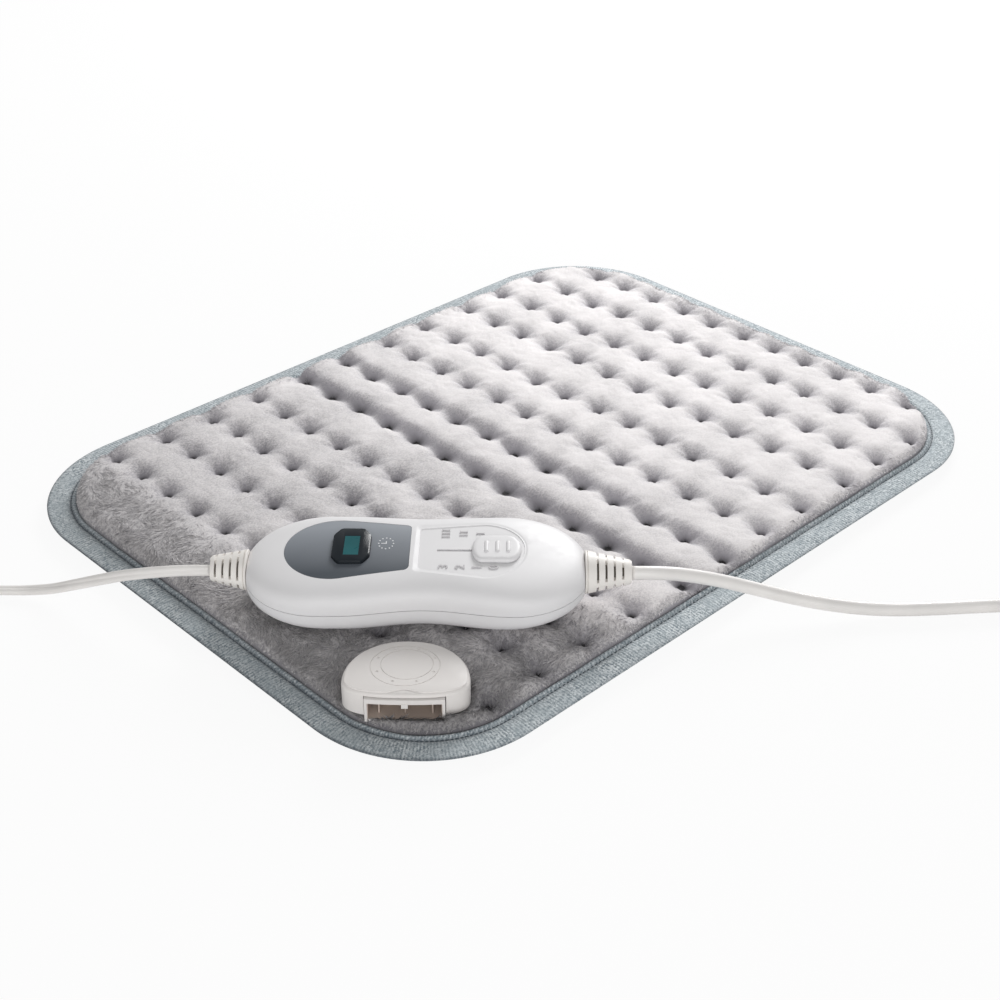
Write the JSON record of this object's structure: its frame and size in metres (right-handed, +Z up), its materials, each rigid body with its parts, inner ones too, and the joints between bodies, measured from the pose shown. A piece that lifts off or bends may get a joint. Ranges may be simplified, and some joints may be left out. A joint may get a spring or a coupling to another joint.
{
  "type": "heating pad with controller",
  "caption": "Quilted rectangular heating pad with a bound edge, a corner socket, and a corded slide-switch controller with a display lying on it.",
  "frame": {"origin": "middle of the pad's underside, on the surface it lies on", "axes": "+X along the pad's long side, +Y along its short side, +Z up out of the plush face"},
  "size_m": [0.5578, 0.5284, 0.0379],
  "materials": {
    "plush": "grey-white short-pile plush, quilted and tufted",
    "lining": "brushed grey polyester backing",
    "wadding": "bonded white fibre sheet",
    "binding_tape": "blue-grey woven bias tape with stitching",
    "heat_wire": "silicone-covered heating wire",
    "white_shell": "white moulded ABS, satin",
    "ivory": "ivory flexible PVC",
    "grey_label": "slate-grey printed panel",
    "dark_lens": "dark tinted window",
    "teal_screen": "teal display and film parts",
    "board_green": "green circuit board laminate",
    "black_plastic": "black moulded plastic",
    "blue_film": "blue coated resistor body",
    "glass": "clear glass fuse tube",
    "steel": "nickel-plated steel",
    "brass": "brass contact",
    "cord_white": "warm white PVC cord and plug",
    "tie_grey": "grey hook-and-loop tie"
  },
  "bodies": {
    "pad": {"pad_bottom_cover": "lining", "heating_carrier": "wadding", "heating_wire": "heat_wire", "wadding": "wadding", "pad_top_cover": "plush", "edge_binding": "binding_tape", "socket_cover": "white_shell", "socket_base": "white_shell", "socket_receptacle": "white_shell", "socket_contact_1": "brass", "socket_contact_2": "brass", "socket_contact_3": "brass", "thermal_cutout": "steel", "controller_top_shell": "white_shell", "controller_bottom_shell": "white_shell", "label_panel": "grey_label", "display_lens": "dark_lens", "display_module": "teal_screen", "circuit_board": "board_green", "slide_switch_body": "black_plastic", "suppression_capacitor": "teal_screen", "triac": "black_plastic", "driver_chip": "black_plastic", "dropper_resistor": "blue_film", "fuse": "glass", "shell_screw_1": "steel", "shell_screw_2": "steel", "shell_screw_3": "steel", "shell_screw_4": "steel", "pad_lead_strain_relief": "ivory", "mains_strain_relief": "ivory", "mains_lead_free": "cord_white", "mains_lead_coil": "cord_white", "mains_lead_tie": "tie_grey", "mains_plug_body": "cord_white", "mains_plug_pin_1": "steel", "mains_plug_pin_2": "steel", "pad_lead_free": "cord_white", "pad_lead_coil": "cord_white", "pad_lead_tie": "tie_grey", "connector_upper_shell": "cord_white", "connector_lower_shell": "cord_white", "connector_tongue": "ivory", "connector_contact_1": "brass", "connector_contact_2": "brass", "connector_contact_3": "brass"},
    "slider": {"slider_knob": "white_shell", "slider_wiper": "brass"}
  },
  "joints": [
    {"name": "slider_travel", "type": "slide", "parent": "pad", "child": "slider", "axis": [-0.7157, 0.6984, 0], "range_m": [0, 0.022]}
  ]
}
